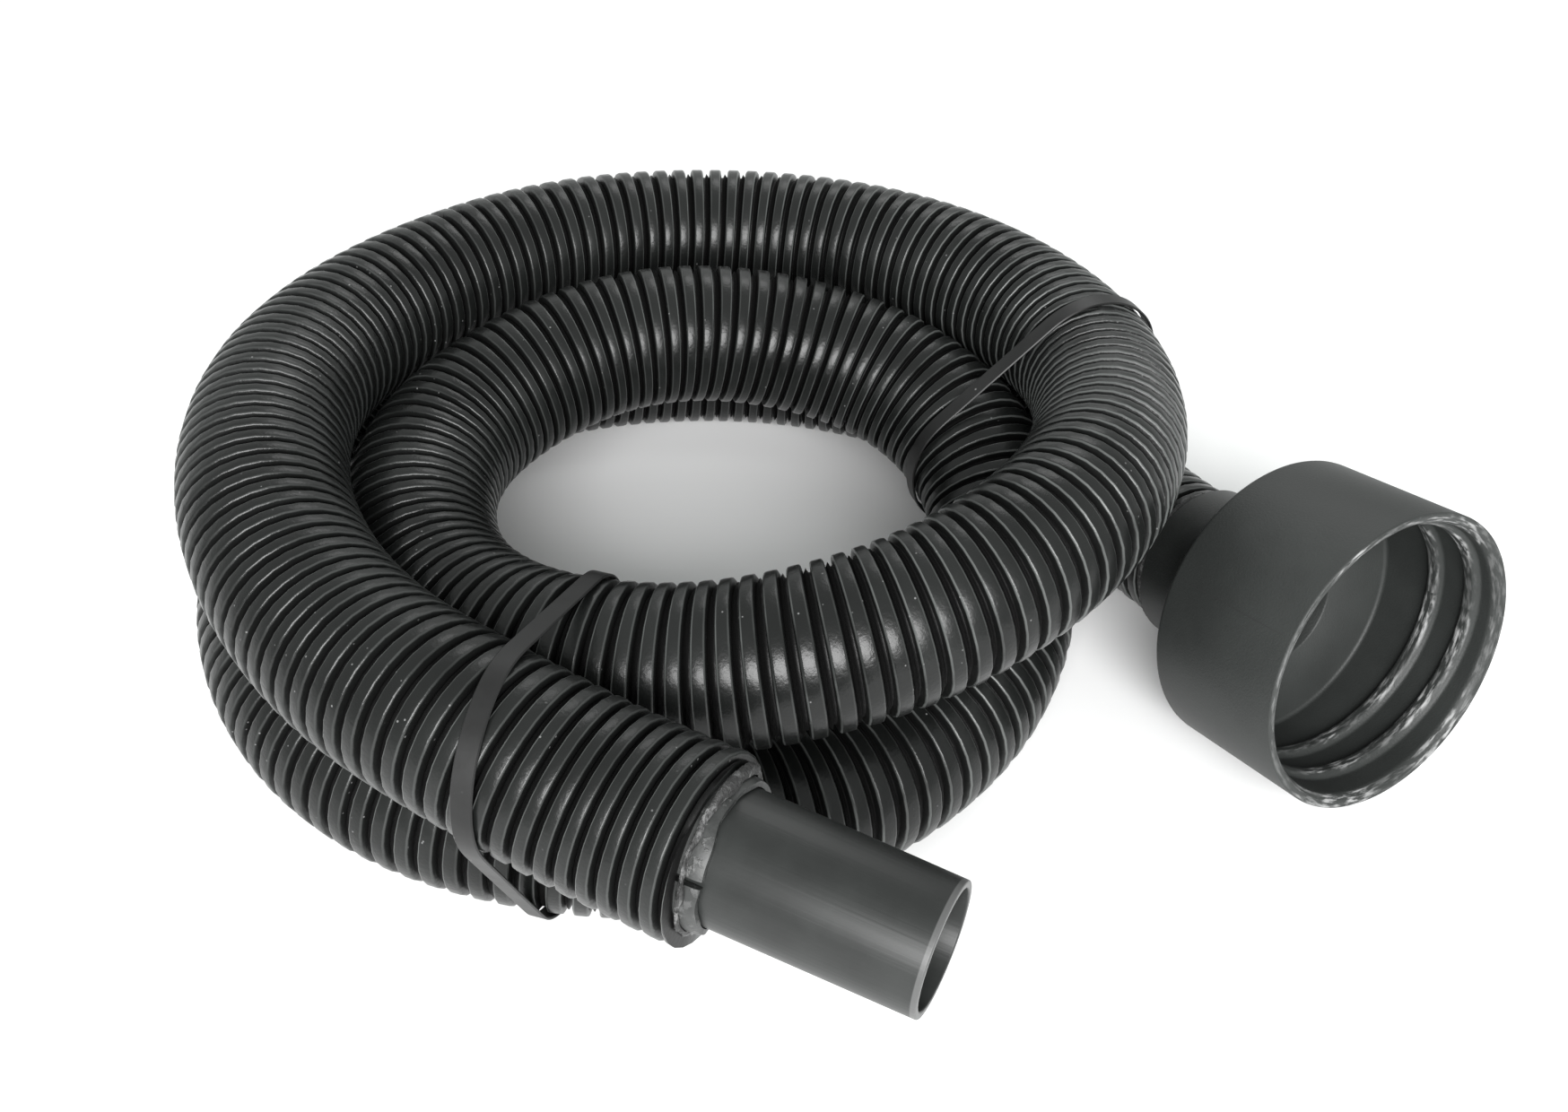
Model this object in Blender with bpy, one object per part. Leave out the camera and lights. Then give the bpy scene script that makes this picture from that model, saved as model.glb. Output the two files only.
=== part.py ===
"""Coiled vacuum hose for a pool or spa.

A corrugated hose lies in almost three turns, held together by two cable ties.
A plain nozzle pipe is glued into one end, packed out with a split sleeve.
A large cap with an internal thread sits on the other end, whose neck takes the hose.

The hose is drawn as a plain tube of its full outside diameter, bored out at both ends.
Lengths are in metres, +Z is up, and +X is the way the cap faces, seen from above.
"""

import math

import bmesh
import bpy
import numpy as np
from mathutils import Matrix, Vector

GAP = 0.0003                # left between faces that touch

# Hose
HOSE_OD = 0.045             # across the ribs
HOSE_WALL = 0.004           # ribs and skin together
HOSE_BORE = HOSE_OD - 2 * HOSE_WALL
HOSE_SIDES = 16
HOSE_RINGS = 72             # cross-sections along the whole hose
CAP_END_BORE_DEPTH = 0.012  # how far the bore is drawn at the cap end

# Nozzle pipe and the split sleeve that packs it out to the hose's bore
SLEEVE_WALL = 0.0019
SLEEVE_REACH = 0.0048       # what shows of the sleeve in front of the hose
SLEEVE_SLIT = 0.0018
SLEEVE_SLIT_ANGLE = math.radians(149)
PIPE_OD = HOSE_BORE - 2 * (SLEEVE_WALL + 2 * GAP)
PIPE_WALL = 0.0018
PIPE_MOUTH_OD = PIPE_OD - 0.0016
PIPE_REACH = 0.054          # from the hose's cut end to the mouth
PIPE_INSERT = 0.026         # inside the hose
NOZZLE_YAW = math.radians(34.7)
NOZZLE_RISE = math.radians(2.5)
NOZZLE_RUN = 0.0065         # straight hose between the first station and the cut end
ROUND_SIDES = 32

# Threaded cap with its neck
CAP_OD = 0.090
CAP_WALL = 0.0036
CAP_LENGTH = 0.0455         # back face to mouth
CAP_FLOOR = 0.0056
CAP_EDGE = 0.0022           # rounding of the back edge
CAP_LEAD_IN = 0.0012        # chamfer inside the mouth
CAP_TILT = math.radians(18)
CAP_SIDES = 48
NECK_LENGTH = 0.030         # behind the back face
NECK_WALL = 0.0020
HOSE_INSERT = 0.026         # hose inside the neck
THROAT_BORE = HOSE_BORE - 0.001
THREAD_PITCH = 0.0125
THREAD_TURNS = 1.75
THREAD_HEIGHT = 0.0018
THREAD_WIDTH = 0.0062
THREAD_FIRST = 0.0056       # first crest behind the mouth
THREAD_START = math.radians(100)
THREAD_ROWS = 20

# Rings of glue: round the hose's cut end at the nozzle, and behind the neck at the cap
BEAD_LENGTH = 0.0030
NOZZLE_BEAD_HEIGHT = 0.0024
CAP_BEAD_HEIGHT = 0.0014
BEAD_LUMP = 0.0004

# Cable ties
TIE_WIDTH = 0.0052
TIE_THICKNESS = 0.0014
TIE_HEAD = (0.0095, 0.0085, 0.0060)
TIE_STEPS = 72

# The route of the hose: sixteen stations a turn, clockwise from the nozzle.
# Each is a distance from the coil's centre and a height of the hose's middle, in millimetres.
COIL_CENTRE = (-0.0129, -0.0226)
FIRST_ANGLE = -26.0
STATIONS_PER_TURN = 16
LYING = 1000 * (HOSE_OD / 2 + GAP)
ON_TIE = LYING + 1000 * (TIE_THICKNESS + GAP)
COIL = [
    (135.5, 77), (120, 80.5), (117, 80), (118, 82), (120, 81), (124, 75), (128, 70), (132, 68),
    (137, 66), (141, 67), (141, 70), (135, 74), (121, 82), (107, 86), (91, 78), (79, 70),
    (74, 64), (75, 61), (77, 56), (80, 53), (82, 54), (82, 55), (78, 59), (76, 63),
    (77, 64), (84, 60), (95, 53), (100, 44), (98, 33), (95, 25), (92, LYING), (92, LYING),
    (96, 24), (102, ON_TIE + 0.3), (112, 24), (122, LYING), (129, LYING), (129, LYING), (124, LYING), (119, LYING),
    (118, LYING), (123, 23), (132, 23.7), (144, ON_TIE + 0.8),
]
LAST_RADIUS = 161           # where the hose's middle enters the neck, in millimetres like the others

# Each tie lies in one plane: its angle about the coil's centre, how far it is skewed from square to the
# turns, how far it leans for each metre of height, and the angle, seen along the hose, of its head.
FRONT_TIE = (math.radians(-46), math.radians(3), 0.05, math.radians(215))
BACK_TIE = (math.radians(86), math.radians(-2), 0.0, math.radians(-35))
BUNDLE_RADIUS = 0.110       # the middle of the bundle that a tie holds
BUNDLE_HEIGHT = 0.050


def clear_scene():
    """Remove whatever is in the open file."""
    for item in list(bpy.data.objects):
        bpy.data.objects.remove(item, do_unlink=True)


def plastic(name, colour, roughness):
    """A plain plastic: one Principled shader with its colour and roughness."""
    material = bpy.data.materials.new(name)
    material.use_nodes = True
    shader = material.node_tree.nodes["Principled BSDF"]
    shader.inputs["Base Color"].default_value = (*colour, 1.0)
    shader.inputs["Roughness"].default_value = roughness
    shader.inputs["Metallic"].default_value = 0.0
    material.diffuse_color = (*colour, 1.0)
    return material


def finish(bm, name, material, sharp_degrees=30):
    """Turn a bmesh into an object, faces outward and round faces shaded smooth."""
    bmesh.ops.recalc_face_normals(bm, faces=bm.faces)
    mesh = bpy.data.meshes.new(name)
    bm.to_mesh(mesh)
    bm.free()
    mesh.materials.append(material)
    mesh.shade_smooth()
    mesh.set_sharp_from_angle(angle=math.radians(sharp_degrees))
    item = bpy.data.objects.new(name, mesh)
    bpy.context.collection.objects.link(item)
    return item


def around(radius, sides):
    """The corner radius of a polygon whose flats touch a circle: for bores, so round pieces fit inside."""
    return radius / math.cos(math.pi / sides)


def direction(yaw, rise):
    """Unit vector at a turn about Z from +X and a rise above the horizontal."""
    return Vector((math.cos(rise) * math.cos(yaw), math.cos(rise) * math.sin(yaw), math.sin(rise)))


def axis_frame(origin, axis):
    """Matrix that puts local +X on an axis, with local +Z as near to up as it goes."""
    x_axis = Vector(axis).normalized()
    y_axis = Vector((0, 0, 1)).cross(x_axis).normalized()
    z_axis = x_axis.cross(y_axis)
    turn = Matrix((x_axis, y_axis, z_axis)).transposed().to_4x4()
    return Matrix.Translation(origin) @ turn


def station(number):
    """A route station as a point: angle from its number, radius and height from the list."""
    radius, height = COIL[number]
    angle = math.radians(FIRST_ANGLE - number * 360 / STATIONS_PER_TURN)
    return Vector((
        COIL_CENTRE[0] + radius / 1000 * math.cos(angle),
        COIL_CENTRE[1] + radius / 1000 * math.sin(angle),
        height / 1000,
    ))


NOZZLE_AXIS = direction(NOZZLE_YAW, NOZZLE_RISE)
CAP_AXIS = direction(0.0, CAP_TILT)
CUT_END = station(0) + NOZZLE_AXIS * NOZZLE_RUN


def neck_entry():
    """Where the hose enters the neck: at the last station, with the cap's back edge on the floor."""
    angle = math.radians(FIRST_ANGLE - len(COIL) * 360 / STATIONS_PER_TURN)
    edge_drop = (CAP_OD / 2 - CAP_EDGE) * math.cos(CAP_TILT) + CAP_EDGE
    edge_rise = (NECK_LENGTH + CAP_EDGE) * math.sin(CAP_TILT)
    return Vector((
        COIL_CENTRE[0] + LAST_RADIUS / 1000 * math.cos(angle),
        COIL_CENTRE[1] + LAST_RADIUS / 1000 * math.sin(angle),
        edge_drop - edge_rise,
    ))


NECK_ENTRY = neck_entry()


def hose_route():
    """All the points that the hose's middle passes through, straight where it is gripped at both ends."""
    points = [CUT_END, CUT_END - NOZZLE_AXIS * PIPE_INSERT]
    points += [station(number) for number in range(1, len(COIL))]
    points += [NECK_ENTRY, NECK_ENTRY + CAP_AXIS * HOSE_INSERT / 2, NECK_ENTRY + CAP_AXIS * HOSE_INSERT]
    return np.array([tuple(point) for point in points])


def smooth_curve(points, count):
    """A natural cubic spline through the points, read at even steps of its length."""
    spans = np.linalg.norm(np.diff(points, axis=0), axis=1)
    knots = np.concatenate([[0.0], np.cumsum(spans)])
    size = len(points)
    system = np.eye(size)
    right = np.zeros((size, 3))
    for i in range(1, size - 1):
        system[i, i - 1:i + 2] = (spans[i - 1], 2 * (spans[i - 1] + spans[i]), spans[i])
        right[i] = 6 * ((points[i + 1] - points[i]) / spans[i] - (points[i] - points[i - 1]) / spans[i - 1])
    bend = np.linalg.solve(system, right)

    def read(at):
        i = np.clip(np.searchsorted(knots, at, side="right") - 1, 0, size - 2)
        span = spans[i][:, None]
        after = (at - knots[i])[:, None]
        before = span - after
        cubic = (bend[i] * before**3 + bend[i + 1] * after**3) / (6 * span)
        start = (points[i] / span - bend[i] * span / 6) * before
        return cubic + start + (points[i + 1] / span - bend[i + 1] * span / 6) * after

    fine = read(np.linspace(0.0, knots[-1], 4000))
    reached = np.concatenate([[0.0], np.cumsum(np.linalg.norm(np.diff(fine, axis=0), axis=1))])
    even = np.linspace(0.0, reached[-1], count)
    return np.column_stack([np.interp(even, reached, fine[:, axis]) for axis in range(3)])


def frames_along(path, first_up):
    """A frame at each point of a path, carried along without twist: the side and up vectors."""
    tangents = np.gradient(path, axis=0)
    tangents /= np.linalg.norm(tangents, axis=1)[:, None]
    ups = [np.array(first_up)]
    for tangent in tangents[1:]:
        up = ups[-1] - tangent * np.dot(ups[-1], tangent)
        ups.append(up / np.linalg.norm(up))
    ups = np.array(ups)
    return np.cross(tangents, ups), ups


def ring(centre, side, up, radius, sides):
    """The corners of one round cross-section."""
    angles = np.arange(sides) * 2 * math.pi / sides
    return centre + radius * (np.outer(np.cos(angles), side) + np.outer(np.sin(angles), up))


def loft(rings):
    """A closed skin over a run of rings, with a flat face at each end."""
    bm = bmesh.new()
    rows = [[bm.verts.new(tuple(point)) for point in points] for points in rings]
    for row, following in zip(rows, rows[1:]):
        for i in range(len(row)):
            j = (i + 1) % len(row)
            bm.faces.new((row[i], row[j], following[j], following[i]))
    bm.faces.new(rows[0])
    bm.faces.new(rows[-1])
    return bm


def turned(profile, sides):
    """A closed outline of (along, radius) points spun round local X."""
    bm = bmesh.new()
    corners = [bm.verts.new((along, 0.0, radius)) for along, radius in profile]
    edges = [bm.edges.new((corners[i], corners[i - 1])) for i in range(len(corners))]
    bmesh.ops.spin(
        bm, geom=corners + edges, axis=(1, 0, 0), cent=(0, 0, 0),
        angle=2 * math.pi, steps=sides, use_merge=True,
    )
    bmesh.ops.remove_doubles(bm, verts=bm.verts, dist=1e-6)
    return bm


def arc(centre, radius, start, end, steps):
    """Points of a round corner of an outline, from one angle to another in degrees."""
    angles = [math.radians(start + (end - start) * i / steps) for i in range(steps + 1)]
    return [(centre[0] + radius * math.cos(a), centre[1] + radius * math.sin(a)) for a in angles]


def build_hose(path):
    """The hose as one tube, with the bore cut in from both ends. Gives back its outer cross-sections."""
    nozzle_frame = axis_frame(CUT_END, NOZZLE_AXIS)
    sides_of, ups = frames_along(path, nozzle_frame.to_3x3() @ Vector((0, 0, 1)))
    bore = around(HOSE_BORE / 2, HOSE_SIDES)
    skin = [ring(c, side, up, HOSE_OD / 2, HOSE_SIDES) for c, side, up in zip(path, sides_of, ups)]
    cut_bore = [
        ring(path[0] - np.array(NOZZLE_AXIS) * depth, sides_of[0], ups[0], bore, HOSE_SIDES)
        for depth in (PIPE_INSERT + GAP, 0.0)
    ]
    cap_bore = [
        ring(path[-1] - np.array(CAP_AXIS) * depth, sides_of[-1], ups[-1], bore, HOSE_SIDES)
        for depth in (0.0, CAP_END_BORE_DEPTH)
    ]
    finish(loft(cut_bore + skin + cap_bore), "hose", plastic("hose_plastic", (0.030, 0.031, 0.034), 0.34))
    return skin


def glue_ring(name, around_radius, height, frame, way):
    """A lumpy ring of glue round local X, filling the corner behind it and thinning out along +X or -X."""
    inner = around(around_radius + GAP, ROUND_SIDES)
    top = around_radius + height
    bm = turned([
        (way * GAP, inner),
        (way * GAP, top - BEAD_LUMP),
        (way * (GAP + BEAD_LENGTH * 0.35), top),
        (way * (GAP + BEAD_LENGTH * 0.75), top - height * 0.4),
        (way * (GAP + BEAD_LENGTH), inner),
    ], ROUND_SIDES)
    for vertex in bm.verts:
        radius = math.hypot(vertex.co.y, vertex.co.z)
        if radius > inner + GAP:
            angle = math.atan2(vertex.co.z, vertex.co.y)
            swell = 1 + BEAD_LUMP / radius * (math.sin(5 * angle) + 0.6 * math.sin(11 * angle + 1))
            vertex.co.y *= swell
            vertex.co.z *= swell
    bead = finish(bm, name, plastic(name, (0.16, 0.165, 0.165), 0.55))
    bead.matrix_world = frame


def build_nozzle():
    """The pipe, the split sleeve that packs it out, and the glue round the hose's cut end."""
    frame = axis_frame(CUT_END, NOZZLE_AXIS)
    outer = PIPE_OD / 2
    mouth = PIPE_MOUTH_OD / 2
    inner = around(mouth - PIPE_WALL, ROUND_SIDES)
    profile = [(-PIPE_INSERT, inner), (-PIPE_INSERT, outer), (SLEEVE_REACH, outer)]
    profile += [(PIPE_REACH, mouth), (PIPE_REACH, inner)]
    pipe = turned(profile, ROUND_SIDES)
    pipe_object = finish(pipe, "nozzle_pipe", plastic("pipe_plastic", (0.055, 0.057, 0.060), 0.42))
    pipe_object.matrix_world = frame

    sleeve_inner = around(outer + GAP, ROUND_SIDES)
    sleeve_outer = HOSE_BORE / 2 - GAP
    half_slit = math.asin(SLEEVE_SLIT / 2 / sleeve_outer)
    turns = np.linspace(half_slit, 2 * math.pi - half_slit, ROUND_SIDES + 1) + SLEEVE_SLIT_ANGLE
    sections = []
    for angle in turns:
        out = Vector((0.0, math.cos(angle), math.sin(angle)))
        back = Vector((-PIPE_INSERT, 0, 0))
        front = Vector((SLEEVE_REACH, 0, 0))
        sections.append([back + out * sleeve_inner, back + out * sleeve_outer,
                         front + out * sleeve_outer, front + out * sleeve_inner])
    sleeve_plastic = plastic("sleeve_plastic", (0.075, 0.078, 0.080), 0.45)
    sleeve_object = finish(loft(sections), "nozzle_sleeve", sleeve_plastic)
    sleeve_object.matrix_world = frame

    glue_ring("nozzle_glue", sleeve_outer, NOZZLE_BEAD_HEIGHT, frame, 1)


def thread_ridge(angle, along, first, half_width):
    """Height share, 0 to 1, of the helical ridge at one place of the cap's bore."""
    best = 0.0
    for whole in range(math.ceil(THREAD_TURNS) + 1):
        turn = angle / (2 * math.pi) + whole
        if 0 <= turn <= THREAD_TURNS:
            away = abs(along - (first - turn * THREAD_PITCH)) / half_width
            fade = min(1.0, turn / 0.08, (THREAD_TURNS - turn) / 0.08)
            best = max(best, fade * max(0.0, min(1.0, 1.6 * (1 - away))))
    return best


def build_cap():
    """The cap, its thread and its neck, one moulding. Local X runs from the neck's rear end to the mouth."""
    outer = CAP_OD / 2
    bore = outer - CAP_WALL
    mouth = NECK_LENGTH + CAP_LENGTH
    floor = NECK_LENGTH + CAP_FLOOR
    neck_bore = HOSE_OD / 2 + GAP
    neck = neck_bore + NECK_WALL
    stop = HOSE_INSERT + GAP
    neck_bore_corner = around(neck_bore, CAP_SIDES)
    bore_corner = around(bore, CAP_SIDES)
    throat_corner = around(THROAT_BORE / 2, CAP_SIDES)
    first_crest = mouth - THREAD_FIRST
    last_crest = first_crest - THREAD_TURNS * THREAD_PITCH
    rows = np.linspace(first_crest + THREAD_WIDTH / 2, last_crest - THREAD_WIDTH / 2, THREAD_ROWS)
    profile = [(0.0, neck_bore_corner), (0.0, neck), (NECK_LENGTH, neck)]
    profile += arc((NECK_LENGTH + CAP_EDGE, outer - CAP_EDGE), CAP_EDGE, 180, 90, 4)
    profile += [(mouth, outer), (mouth, bore_corner + CAP_LEAD_IN), (mouth - CAP_LEAD_IN, bore_corner)]
    profile += [(along, bore_corner) for along in rows]
    profile += [(floor, bore_corner), (floor, throat_corner), (stop, throat_corner), (stop, neck_bore_corner)]
    bm = turned(profile, CAP_SIDES)
    for vertex in bm.verts:
        along = vertex.co.x
        radius = math.hypot(vertex.co.y, vertex.co.z)
        if rows[-1] <= along <= rows[0] and abs(radius - bore_corner) < GAP / 3:
            angle = (THREAD_START - math.atan2(vertex.co.z, vertex.co.y)) % (2 * math.pi)
            rise = THREAD_HEIGHT * thread_ridge(angle, along, first_crest, THREAD_WIDTH / 2)
            shrink = (radius - rise) / radius
            vertex.co.y *= shrink
            vertex.co.z *= shrink
    cap = finish(bm, "threaded_cap", plastic("cap_plastic", (0.085, 0.088, 0.090), 0.50))
    cap.matrix_world = axis_frame(NECK_ENTRY, CAP_AXIS)
    glue_ring("cap_glue", HOSE_OD / 2 + GAP, CAP_BEAD_HEIGHT, cap.matrix_world.copy(), -1)


def convex_outline(points):
    """The convex outline of flat points, anticlockwise."""
    ordered = sorted(map(tuple, points))

    def half(run):
        chain = []
        for point in run:
            while len(chain) > 1:
                ax, ay = chain[-2]
                bx, by = chain[-1]
                if (bx - ax) * (point[1] - ay) - (by - ay) * (point[0] - ax) > 1e-12:
                    break
                chain.pop()
            chain.append(point)
        return chain[:-1]

    return np.array(half(ordered) + half(ordered[::-1]))


def even_loop(outline, steps):
    """A closed outline read at even steps of its length."""
    closed = np.vstack([outline, outline[:1]])
    reached = np.concatenate([[0.0], np.cumsum(np.linalg.norm(np.diff(closed, axis=0), axis=1))])
    even = np.linspace(0.0, reached[-1], steps, endpoint=False)
    return np.column_stack([np.interp(even, reached, closed[:, axis]) for axis in range(2)])


def build_tie(name, path, skin, place):
    """A cable tie drawn tight round the turns at one angle of the coil, with its square head on one side."""
    angle, skew, lean, head_angle = place
    material = plastic(name + "_nylon", (0.028, 0.029, 0.032), 0.38)
    origin = np.array((*COIL_CENTRE, BUNDLE_HEIGHT)) + BUNDLE_RADIUS * np.array(direction(angle, 0))
    across = np.array(direction(angle + skew, 0))
    normal = np.cross(across, (0.0, 0.0, 1.0))
    upward = np.array((0.0, 0.0, 1.0)) + lean * normal

    shares = np.linspace(0.0, 1.0, 24)[:, None, None]
    near = []
    for first, second, centre in zip(skin, skin[1:], path):
        if np.linalg.norm(origin - centre) < 2 * HOSE_OD:
            near.append((first * (1 - shares) + second * shares).reshape(-1, 3))
    offset = np.vstack(near) - origin
    close = np.abs(offset @ normal - lean * offset[:, 2]) < TIE_WIDTH / 2 + GAP
    flat = np.column_stack([offset[close] @ across, offset[close, 2]])
    tight = convex_outline(flat)
    rim = np.arange(12) * math.pi / 6
    grow = GAP / math.cos(math.pi / 12)
    padded = np.vstack([tight + grow * np.array((math.cos(a), math.sin(a))) for a in rim])
    inner = even_loop(convex_outline(padded), TIE_STEPS)
    tangent = np.roll(inner, -1, axis=0) - np.roll(inner, 1, axis=0)
    outward = np.column_stack([tangent[:, 1], -tangent[:, 0]])
    outward /= np.linalg.norm(outward, axis=1)[:, None]
    inner = inner + outward * GAP
    outer = inner + outward * TIE_THICKNESS

    bm = bmesh.new()
    half = TIE_WIDTH / 2
    sections = []
    for low, high in zip(inner, outer):
        corners = [(low, -half), (high, -half), (high, half), (low, half)]
        places = [origin + across * p[0] + upward * p[1] + normal * shift for p, shift in corners]
        sections.append([bm.verts.new(tuple(place_at)) for place_at in places])
    for i, section in enumerate(sections):
        following = sections[(i + 1) % len(sections)]
        for j in range(4):
            k = (j + 1) % 4
            bm.faces.new((section[j], section[k], following[k], following[j]))
    strap = finish(bm, name, material)

    towards = np.array((math.cos(head_angle), math.sin(head_angle)))
    seat = int(np.argmax(inner @ towards))
    out = across * outward[seat][0] + upward * outward[seat][1]
    foot = origin + across * inner[seat][0] + upward * inner[seat][1]
    bm = bmesh.new()
    bmesh.ops.create_cube(bm, size=1.0)
    bmesh.ops.scale(bm, vec=TIE_HEAD, verts=bm.verts)
    head = finish(bm, name + "_head_shape", material)
    along = np.cross(normal, out)
    turn = Matrix((Vector(along), Vector(normal), Vector(out))).transposed().to_4x4()
    head.matrix_world = Matrix.Translation(Vector(foot + out * (TIE_HEAD[2] / 2 + GAP))) @ turn
    head.hide_render = True
    head.display_type = "WIRE"
    union = strap.modifiers.new("head", "BOOLEAN")
    union.operation = "UNION"
    union.solver = "EXACT"
    union.object = head


def main():
    clear_scene()
    path = smooth_curve(hose_route(), HOSE_RINGS)
    skin = build_hose(path)
    build_nozzle()
    build_cap()
    build_tie("front_tie", path, skin, FRONT_TIE)
    build_tie("back_tie", path, skin, BACK_TIE)


main()
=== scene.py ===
# %% [markdown]
# # A coiled vacuum hose for a pool or spa
#
# A ribbed black hose lies in almost three turns and is held by two cable ties.
# One end holds a plain nozzle pipe, glued in and packed out with a split sleeve.
# The other end sits in the neck of a large cap with a thread inside.
#
# The solid model fixes every place and size.
# This script gives each piece its visible shape and its finish.

import math

import bmesh
import bpy
import numpy as np
from mathutils import Matrix, Vector


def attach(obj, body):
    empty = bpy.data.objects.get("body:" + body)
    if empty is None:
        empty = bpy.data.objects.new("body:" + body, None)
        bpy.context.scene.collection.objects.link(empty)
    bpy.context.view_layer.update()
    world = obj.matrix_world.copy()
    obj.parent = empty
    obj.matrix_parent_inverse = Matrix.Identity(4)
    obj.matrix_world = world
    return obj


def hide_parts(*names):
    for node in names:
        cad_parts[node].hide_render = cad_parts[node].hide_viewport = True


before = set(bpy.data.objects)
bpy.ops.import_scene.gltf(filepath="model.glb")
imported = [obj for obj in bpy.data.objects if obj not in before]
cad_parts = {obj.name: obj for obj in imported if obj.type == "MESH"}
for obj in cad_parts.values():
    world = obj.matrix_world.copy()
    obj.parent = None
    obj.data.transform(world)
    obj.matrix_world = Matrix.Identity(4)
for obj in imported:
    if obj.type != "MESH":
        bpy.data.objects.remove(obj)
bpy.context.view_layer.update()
print("solid pieces:", ", ".join(sorted(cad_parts)))

# %% [markdown]
# ## Camera
#
# The camera stands in front of the nozzle and looks down over the coil.
# Its axes are given as three directions, because that states the view exactly, tilt included.
# Angles would do the same with less to read, but a small roll is easy to lose in them.

# %% Camera
CAMERA_PLACE = (0.27365, -0.16158, 0.33825)
LOOKING = Vector((-0.6218, 0.3721, -0.6892)).normalized()
PICTURE_UP = Vector((-0.6254, 0.2939, 0.7229))
CAMERA_LENS = 32.45
SENSOR_WIDTH = 36.0
NEAREST_SEEN = 0.01


def add_camera(place, looking, up_hint, lens):
    """A camera at a place. Right = view x hint, up = right x view, and its back is minus the view."""
    right = looking.cross(up_hint).normalized()
    up = right.cross(looking)
    turn = Matrix((right, up, -looking)).transposed().to_4x4()
    data = bpy.data.cameras.new("camera")
    data.lens = lens
    data.sensor_width = SENSOR_WIDTH
    data.clip_start = NEAREST_SEEN
    camera = bpy.data.objects.new("camera", data)
    camera.matrix_world = Matrix.Translation(place) @ turn
    bpy.context.scene.collection.objects.link(camera)
    return camera


bpy.context.scene.camera = add_camera(CAMERA_PLACE, LOOKING, PICTURE_UP, CAMERA_LENS)
print("camera looks down by", round(math.degrees(math.asin(-LOOKING.z)), 1), "degrees")

# %% [markdown]
# ## The hose's route
#
# A hose wound by hand makes loose turns that climb over each other, so its middle line is given by points.
# Each point is a radius and a height round the coil's centre, sixteen to a turn and four to a line below.
# A pure spiral would be shorter to write, but real turns sag, spread and cross.
# The sizes are the solid model's own, and the nozzle and the cap give the directions of the two ends.

# %% Route points
HOSE_OD = 0.045
GAP = 0.0003
PIPE_INSERT = 0.026
NOZZLE_RUN = 0.0065
NOZZLE_YAW = math.radians(34.7)
NOZZLE_RISE = math.radians(2.5)
CAP_OD = 0.090
CAP_EDGE = 0.0022
CAP_TILT = math.radians(18)
NECK_LENGTH = 0.030
HOSE_INSERT = 0.026
TIE_THICKNESS = 0.0014
COIL_CENTRE = (-0.0129, -0.0226)
FIRST_ANGLE = -26.0
STATIONS_PER_TURN = 16
LYING = 1000 * (HOSE_OD / 2 + GAP)
ON_TIE = LYING + 1000 * (TIE_THICKNESS + GAP)
OVER_FRONT_TIE = ON_TIE + 0.3
OVER_BACK_TIE = ON_TIE + 0.8
# radius and height in millimetres
COIL = [
    (135.5, 77), (120, 80.5), (117, 80), (118, 82),
    (120, 81), (124, 75), (128, 70), (132, 68),
    (137, 66), (141, 67), (141, 70), (135, 74),
    (121, 82), (107, 86), (91, 78), (79, 70),
    (74, 64), (75, 61), (77, 56), (80, 53),
    (82, 54), (82, 55), (78, 59), (76, 63),
    (77, 64), (84, 60), (95, 53), (100, 44),
    (98, 33), (95, 25), (92, LYING), (92, LYING),
    (96, 24), (102, OVER_FRONT_TIE), (112, 24), (122, LYING),
    (129, LYING), (129, LYING), (124, LYING), (119, LYING),
    (118, LYING), (123, 23), (132, 23.7), (144, OVER_BACK_TIE),
]
LAST_RADIUS = 161


def direction(yaw, rise):
    """Unit vector: cos(rise) times (cos(yaw), sin(yaw)) across, sin(rise) up."""
    return np.array((math.cos(rise) * math.cos(yaw), math.cos(rise) * math.sin(yaw), math.sin(rise)))


def on_coil(number, radius, height):
    """The point at a station's angle: centre plus radius times (cos, sin), in metres from millimetres."""
    angle = math.radians(FIRST_ANGLE - number * 360 / STATIONS_PER_TURN)
    return np.array((
        COIL_CENTRE[0] + radius / 1000 * math.cos(angle),
        COIL_CENTRE[1] + radius / 1000 * math.sin(angle),
        height / 1000,
    ))


nozzle_axis = direction(NOZZLE_YAW, NOZZLE_RISE)
cap_axis = direction(0.0, CAP_TILT)
cut_end = on_coil(0, *COIL[0]) + nozzle_axis * NOZZLE_RUN
edge_drop = (CAP_OD / 2 - CAP_EDGE) * math.cos(CAP_TILT) + CAP_EDGE
edge_rise = (NECK_LENGTH + CAP_EDGE) * math.sin(CAP_TILT)
neck_entry = on_coil(len(COIL), LAST_RADIUS, 1000 * (edge_drop - edge_rise))
route = np.array(
    [cut_end, cut_end - nozzle_axis * PIPE_INSERT]
    + [on_coil(number, *COIL[number]) for number in range(1, len(COIL))]
    + [neck_entry, neck_entry + cap_axis * HOSE_INSERT / 2, neck_entry + cap_axis * HOSE_INSERT]
)
print("route points:", len(route), " cut end:", cut_end.round(4), " neck entry:", neck_entry.round(4))

# %% [markdown]
# ## A smooth middle line
#
# A stiff tube bends evenly, so a cubic spline is put through the points and read at every millimetre.
# A short running average then takes out the small waves that points listed one by one leave.
# Blender's own curves would bevel a tube from this, but the ribs below need the distance along it.
# Each place also gets two cross directions, carried along without a twist, which angles round it start from.

# %% Smooth middle line
SPLINE_STEPS = 6000
PATH_STEP = 0.001
EASING = 0.015


def steps_along(points):
    """How far along a run of points each one lies: the running sum of the distances between them."""
    return np.concatenate([[0.0], np.cumsum(np.linalg.norm(np.diff(points, axis=0), axis=1))])


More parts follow.
